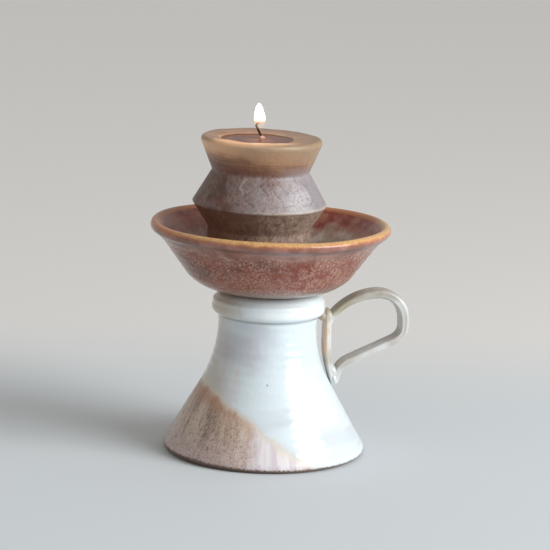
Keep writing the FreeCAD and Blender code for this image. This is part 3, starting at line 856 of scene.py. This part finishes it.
drum_brown = tone(120, 92, 74)
drum_dark = tone(98, 70, 56)
vein_brown = tone(88, 62, 50)
belt_brown = tone(112, 78, 66)
belt_dark = tone(94, 64, 54)
waist_brown = tone(118, 80, 62)
waist_dark = tone(104, 66, 54)
amber_low = tone(142, 104, 78)
amber_high = tone(164, 130, 102)
top_brown = tone(150, 112, 90)
top_tan = tone(174, 138, 118)
rim_olive = tone(152, 138, 114)
right_shade_olive = tone(140, 118, 94)
bloom_grey = tone(152, 142, 142)
bloom_mauve = tone(146, 138, 142)
sheen_white = tone(206, 202, 205)
dribble_grey = tone(176, 164, 162)
crest_highlight = tone(186, 172, 156)
scuff_buff = tone(188, 166, 152)
crack_brown = tone(70, 46, 38)
lit_wax = tone(255, 196, 148)


def burning_wax():
    """Amber and see-through by the flame, deep brown below, dusted with pale bloom."""
    mix = Recipe("brown_wax")
    spot, x, y, z = mix.place()
    mottle = mix.clouds(mix.flow(0.10, 0.10), detail=4.0, rough=0.6)
    veins = mix.clouds(mix.flow(0.28, 0.16), detail=4.0, rough=0.7, warp=1.2)
    wander = mix.times(mix.minus(mottle, 0.5), 14 * mm)
    level = mix.plus(z, wander)
    # The wax goes amber in thin bands, higher up on the left than on the right; the lower reach on the right
    # is painted light from that side.
    thin_bands = mix.clouds(mix.flow(0.03, 0.55), rough=0.6)
    amber_level = mix.stray(mix.plus(level, mix.times(x, 0.10)), thin_bands, 14 * mm)

    drum = mix.colour(mix.step(mottle, 0.40, 0.60), drum_brown, drum_dark)
    drum = mix.tint(drum, vein_brown, mix.step(veins, 0.50, 0.62), 0.7)
    belt = mix.colour(mix.step(mottle, 0.4, 0.62), belt_brown, belt_dark)
    waist = mix.colour(mix.step(mottle, 0.42, 0.6), waist_brown, waist_dark)
    amber = mix.colour(mix.step(amber_level, 72 * mm, 84 * mm), amber_low, amber_high)
    colour = mix.colour(mix.step(level, 45 * mm, 49 * mm), drum, belt)
    colour = mix.colour(mix.step(level, 62 * mm, 69 * mm), colour, waist)
    colour = mix.colour(mix.step(amber_level, 68 * mm, 80 * mm), colour, amber)

    # The top: olive where the rim is thinnest, tan and clouded round the hollow.
    cloudy = mix.clouds(spot, scale=90.0, detail=4.0, rough=0.65, warp=0.6)
    top = mix.step(z, candle_height - 1.6 * mm, candle_height - 0.3 * mm)
    clouded_top = mix.colour(mix.step(cloudy, 0.38, 0.62), top_brown, top_tan)
    colour = mix.tint(colour, clouded_top, top, 0.85)
    rim = mix.times(mix.step(mix.radius(spot), 33.0 * mm, 37.0 * mm), mix.step(z, 80 * mm, 88 * mm))
    colour = mix.tint(colour, rim_olive, rim, 0.5)
    # Painted shade: the lit right side of the flare is toned a darker olive.
    right_shade = mix.times(mix.step(x, 8 * mm, 30 * mm), mix.step(z, 74 * mm, 80 * mm))
    colour = mix.tint(colour, right_shade_olive, right_shade, 0.5)

    # Bloom lies above the belt, thick and silky on the right, worn off on the left,
    # and breaks into frost and dark specks between.
    frost = mix.clouds(mix.flow(0.42, 0.34), detail=5.0, rough=0.85, warp=0.8)
    blotch = mix.clouds(mix.flow(0.075, 0.06), rough=0.6, warp=0.5)
    shoulder = mix.between(z, 46.4 * mm, 47.2 * mm, 66.5 * mm, 71 * mm)
    thick = mix.step(mix.plus(x, wander), -40 * mm, 40 * mm)
    cover = mix.plus(mix.times(thick, 0.92), mix.times(mix.step(frost, 0.42, 0.58), 0.34))
    cover = mix.minus(cover, mix.times(mix.step(blotch, 0.46, 0.62), 0.42))
    cover = mix.minus(cover, mix.times(mix.step(frost, 0.46, 0.38), 0.40))
    cover = mix.times(shoulder, mix.maths("MAXIMUM", cover, 0.0))
    on_flare = mix.times(mix.between(z, 66 * mm, 70 * mm, 72 * mm, 84 * mm), mix.step(frost, 0.50, 0.66))
    in_waist = mix.times(mix.between(z, 66 * mm, 68 * mm, 70 * mm, 77 * mm), mix.step(x, 4 * mm, 24 * mm))
    cover = mix.plus(cover, mix.times(on_flare, 0.26), mix.times(in_waist, 0.45))
    silk = mix.colour(mix.step(x, 12 * mm, 34 * mm), bloom_grey, bloom_mauve)
    colour = mix.colour(mix.maths("MINIMUM", cover, 1.0), colour, silk)
    # Painted highlight: a pale glossy sheen on the belt at the front right.
    painted_sheen = mix.step(mix.plus(mix.distance(spot, sheen_spot), wander), 14 * mm, 5 * mm)
    painted_sheen = mix.times(painted_sheen, shoulder, mix.step(frost, 0.34, 0.56))
    colour = mix.tint(colour, sheen_white, painted_sheen, 0.42)
    beside = mix.maths("ABSOLUTE", mix.plus(x, 10.4 * mm, mix.times(wander, 0.7)))
    dribble = mix.times(mix.step(beside, 1.5 * mm, 0.2 * mm), mix.step(y, 0, -10 * mm))
    dribble = mix.times(dribble, mix.between(z, 56 * mm, 60 * mm, 66 * mm, 69 * mm))
    colour = mix.tint(colour, dribble_grey, dribble, 0.5)
    # Painted highlight: a lighter line along the belt's crest, stronger on the right.
    painted_crest = mix.between(z, 46.0 * mm, 46.8 * mm, 47.8 * mm, 49.0 * mm)
    colour = mix.tint(colour, crest_highlight, painted_crest, mix.times(thick, 0.5))

    # Lower down the wax is scuffed pale brown and cracked.
    scratches = mix.clouds(mix.flow(0.28, 0.19), detail=5.0, rough=0.8, warp=1.4)
    lower = mix.times(mix.step(z, 47.0 * mm, 45.6 * mm), thick)
    scuffed = mix.plus(mix.times(mix.step(scratches, 0.42, 0.60), 0.5), 0.30)
    colour = mix.tint(colour, scuff_buff, lower, scuffed)
    cracks = mix.times(mix.step(z, 47.0 * mm, 42 * mm), mix.step(scratches, 0.46, 0.34))
    colour = mix.tint(colour, crack_brown, cracks, 0.6)

    # Painted glow: emission stands in for the flame lighting the wax from within, most of all the near lip of
    # the hollow, and brightens the shaded upper left.
    reach = mix.distance(spot, flame_heart)
    painted_glow = mix.times(mix.step(reach, 44 * mm, 20 * mm), mix.step(amber_level, 66 * mm, 88 * mm))
    near_lip_glow = mix.times(mix.step(reach, 34 * mm, 28.5 * mm), mix.step(y, -16 * mm, -26 * mm))
    near_lip_glow = mix.times(near_lip_glow, mix.step(z, candle_height - 2.2 * mm, candle_height - 1.0 * mm))
    left_side_glow = mix.between(z, 76 * mm, 85 * mm, candle_height - 2.4 * mm, candle_height - 0.6 * mm)
    left_side_glow = mix.times(left_side_glow, mix.step(x, 0, -30 * mm))
    painted_glow = mix.plus(mix.times(painted_glow, 0.09), mix.times(near_lip_glow, 0.40), mix.times(left_side_glow, 0.16))
    return mix.finish(
        Base_Color=colour,
        Roughness=mix.spread(cover, 0.40, 0.46),
        Normal=mix.relief(mottle, 0.7 * mm, mix.relief(frost, 0.16 * mm)),
        Emission_Color=lit_wax,
        Emission_Strength=painted_glow,
        Subsurface_Weight=mix.times(mix.step(amber_level, 66 * mm, 84 * mm), 0.45),
        Subsurface_Radius=(1.0, 0.6, 0.32),
        Subsurface_Scale=7 * mm,
    )


dress(candle, "candle", "brown_wax", burning_wax(), "candle_wax")


# ----------------------------------------------------------------- sustainer
# A disc of thin tinned steel pressed into the candle's foot, with a neck
# crimped on the wick. The CAD part is right as it is and only gets its metal.

tin = Recipe("tinned_steel")
spangle = tin.clouds(tin.place()[0], scale=500.0)
tin.finish(
    Base_Color=tin.colour(spangle, tone(196, 196, 192), tone(164, 162, 156)),
    Metallic=1.0,
    Roughness=tin.spread(spangle, 0.25, 0.5),
)
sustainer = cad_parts["wick_sustainer"]
sustainer.data.materials.clear()
sustainer.data.materials.append(tin.material)


# ---------------------------------------------------------------------- wick
# Three cotton yarns braided and waxed, cast into the candle with their foot in
# the sustainer. The end has burnt black and hooks over.

wick_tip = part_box("wick")[1].z - wax_low.z
braid_radius = 0.66 * mm
braid_points = 30
wick_path = softened(outline([
    (0, candle_height - 8 * mm),
    (0, 85.5 * mm, -0.35 * mm),
    (-0.6 * mm, 90.0 * mm),
    (-3.2 * mm, 95.2 * mm, -1.0 * mm),
    (-2.6 * mm, 98.0 * mm, -0.3 * mm),
    (-0.9 * mm, wick_tip - 0.4 * mm),
], 0.25 * mm), 6)
across = Vector((0, 1, 0))
last = len(wick_path) - 1
yarn = bmesh.new()
rings = []
for index, here in enumerate(wick_path):
    ahead = wick_path[min(last, index + 1)] - wick_path[max(0, index - 1)]
    side = Vector((ahead.y, 0, -ahead.x)).normalized()
    taper = 1 - 0.35 * eased(index / last, 0.8, 1.0)
    centre = Vector((here.x, 0, here.y))
    ring = []
    for step in range(braid_points):
        turn = math.tau * step / braid_points
        plait = 1 + 0.16 * math.cos(3 * turn + index * 0.32) + 0.05 * math.cos(7 * turn - index * 0.5)
        way = side * math.cos(turn) + across * math.sin(turn)
        ring.append(yarn.verts.new(centre + way * braid_radius * taper * plait))
    rings.append(ring)
capped(yarn, rings)
bmesh.ops.recalc_face_normals(yarn, faces=yarn.faces)
wick = finished("braided_wick", yarn)
wick.location = candle.location

char = Recipe("charred_cotton")
spot, _, _, z = char.place()
fibre = char.clouds(spot, scale=2600.0, detail=2.0)
burnt = char.colour(fibre, tone(26, 18, 14), tone(52, 36, 26))
waxed = char.colour(fibre, tone(120, 84, 58), tone(90, 60, 42))
char.finish(
    Base_Color=char.colour(char.step(z, candle_height - 3 * mm, candle_height), waxed, burnt),
    Roughness=0.9,
    Normal=char.relief(fibre, 0.2 * mm),
    Emission_Color=tone(255, 120, 30),
    Emission_Strength=char.times(char.step(z, wick_tip - 1.6 * mm, wick_tip), 3.0),
)
dress(wick, "candle", "charred_cotton", char.material, "wick")


# --------------------------------------------------------------- molten wax
# A shallow pool of liquid wax fills the hollow and creeps up the wick. A painted
# highlight glows on it beside the wick, with a painted reflection of the flame in front.

pool_level = candle_height - 0.95 * mm
pool_bottom = pool_level - 1.6 * mm
pool_waver = 0.3 * mm
wick_bead = Vector((0.5 * mm, -0.8 * mm, pool_level + 0.8 * mm))
lit_patch = Vector((-1.5 * mm, -11 * mm, pool_level))
pool_outline = [
    (0, pool_bottom),
    (19.5 * mm, pool_bottom),
    (23.1 * mm, pool_level + 0.35 * mm, -0.2 * mm),
    (20.6 * mm, pool_level),
    (3.6 * mm, pool_level, -0.4 * mm),
    (1.2 * mm, pool_level + 1.3 * mm),
    (0, pool_level + 1.7 * mm),
]


def creeping_pool(angle, spot):
    """The pool lies where the hollow lies; only the wax by the wick stays at the wick."""
    wobble = noise.noise(Vector((math.sin(angle) * 1.7, -math.cos(angle) * 1.7, 2.6)))
    far = eased(spot.xy.length, 3 * mm, 14 * mm)
    return spot + hollow_shift * far + Vector((pool_waver * wobble * far, 0, 0))


pool_path = softened(outline(pool_outline, 0.5 * mm), 1)
pool = turned("molten_wax", pool_path, around=192, girth=18 * mm, hand=creeping_pool)
pool.location = candle.location
liquid = Recipe("molten_wax")
spot = liquid.place()[0]
depth = liquid.clouds(spot, scale=60.0, detail=2.0)
by_wick = liquid.distance(spot, wick_bead)
painted_glint = liquid.times(liquid.step(by_wick, 2.4 * mm, 1.2 * mm), 0.45)
painted_gleam = liquid.times(liquid.step(liquid.distance(spot, lit_patch), 13 * mm, 4 * mm), 0.10)
hue = liquid.colour(liquid.step(by_wick, 3.0 * mm, 2.0 * mm), tone(255, 176, 118), tone(255, 224, 210))
liquid.finish(
    Base_Color=liquid.colour(liquid.step(depth, 0.35, 0.65), tone(122, 68, 36), tone(108, 58, 42)),
    Roughness=0.2,
    Specular_IOR_Level=0.12,
    Emission_Color=hue,
    Emission_Strength=liquid.plus(painted_gleam, painted_glint),
    Subsurface_Weight=0.3,
    Subsurface_Radius=(1.0, 0.5, 0.25),
    Subsurface_Scale=4 * mm,
)
dress(pool, "candle", "brown_wax", liquid.material)


# --------------------------------------------------------------------- flame
# A calm flame a little taller than a fingertip, lit from the hooked end of the
# wick: clear and warm at its root, white in the middle.

flame_foot = 94.4 * mm
flame_top = 110.6 * mm
flame_shift = -2.1 * mm
flame_waver = 0.35 * mm
flame_outline = [
    (0, flame_foot),
    (2.2 * mm, flame_foot + 0.9 * mm, 0.3 * mm),
    (3.45 * mm, flame_foot + 4.6 * mm, 0.35 * mm),
    (2.9 * mm, flame_foot + 9.6 * mm, 0.35 * mm),
    (0.9 * mm, flame_top - 0.8 * mm, 0.3 * mm),
    (0, flame_top),
]


def drawn_up(angle, spot):
    """The flame leans a hair and wavers toward its tip."""
    share = (spot.z - flame_foot) / (flame_top - flame_foot)
    return spot + Vector((flame_shift + flame_waver * math.sin(share * 5), 0, 0))


flame_path = softened(outline(flame_outline, 0.4 * mm), 4)
flame = turned("flame", flame_path, around=64, girth=4 * mm, hand=drawn_up)
flame.location = candle.location
fire = Recipe("flame")
z = fire.place()[-1]
height = fire.step(z, flame_foot + 2.2 * mm, flame_foot + 8 * mm)
heart = fire.step(z, flame_foot + 4.5 * mm, flame_foot + 10 * mm)
fire.finish(
    Base_Color=tone(0, 0, 0),
    Roughness=1.0,
    Specular_IOR_Level=0.0,
    Emission_Color=fire.colour(height, tone(255, 214, 176), tone(255, 240, 218)),
    Emission_Strength=fire.spread(heart, 1.05, 9.0),
    Alpha=fire.spread(height, 0.16, 0.95),
)
dress(flame, "candle", "brown_wax", fire.material)


# ------------------------------------------------------------------- setting
# A pale floor that runs out of sight, one large soft window light at the front
# right, broad daylight from the same side, and the camera a little above the bowl.

floor_radius = 9.0
cool_light = (0.95, 0.985, 1.0)
window_place = Vector((1.55, -0.80, 0.75))
window_aim = Vector((0, 0, 0.10))
window_size = 1.1
window_power = 24
daylight_way = Vector((-0.82, 0.36, -0.46))
daylight_power = 1.45
daylight_softness = math.radians(40)
room_colour = (1.0, 0.97, 0.93, 1)
room_power = 0.43
camera_place = Vector((3.5 * mm, -1650 * mm, 445 * mm))
camera_drop = math.radians(11.36)
camera_roll = math.radians(2.2)
lens_length = 173.6
film_width = 36

ground = bmesh.new()
bmesh.ops.create_circle(ground, cap_ends=True, segments=96, radius=floor_radius)
floor = finished("floor", ground)
floor.location.z = -0.2 * mm
pale = Recipe("pale_floor")
spot, _, y, _ = pale.place()
worn = pale.clouds(spot, scale=3.0)
paint = pale.colour(pale.step(y, 0.10, 0.40), tone(216, 222, 226), tone(234, 232, 230))
pale.finish(Base_Color=pale.tint(paint, tone(200, 198, 194), worn, 0.06), Roughness=0.7)
floor.data.materials.append(pale.material)


def hung(name, thing, place=(0, 0, 0), way=None):
    """Put a light or the camera in the room, a light facing the given way."""
    holder = bpy.data.objects.new(name, thing)
    holder.location = place
    if way:
        holder.rotation_euler = way.to_track_quat("-Z", "Y").to_euler()
    bpy.context.scene.collection.objects.link(holder)
    return holder


window = bpy.data.lights.new("window", "AREA")
window.size = window_size
window.energy = window_power
window.color = cool_light
hung("window", window, window_place, window_aim - window_place)

daylight = bpy.data.lights.new("daylight", "SUN")
daylight.energy = daylight_power
daylight.angle = daylight_softness
daylight.color = cool_light
hung("daylight", daylight, way=daylight_way)

room = bpy.data.worlds.new("room_light")
room.use_nodes = True
backdrop = room.node_tree.nodes["Background"].inputs
backdrop["Color"].default_value = room_colour
backdrop["Strength"].default_value = room_power
bpy.context.scene.world = room

lens = bpy.data.cameras.new("camera")
lens.lens = lens_length
lens.sensor_width = film_width
camera = hung("camera", lens)
camera.matrix_world = (
    Matrix.Translation(camera_place)
    @ Matrix.Rotation(math.pi / 2 - camera_drop, 4, "X")
    @ Matrix.Rotation(camera_roll, 4, "Z")
)
bpy.context.scene.camera = camera
bpy.context.scene.view_settings.view_transform = "Standard"
bpy.context.scene.view_settings.look = "None"
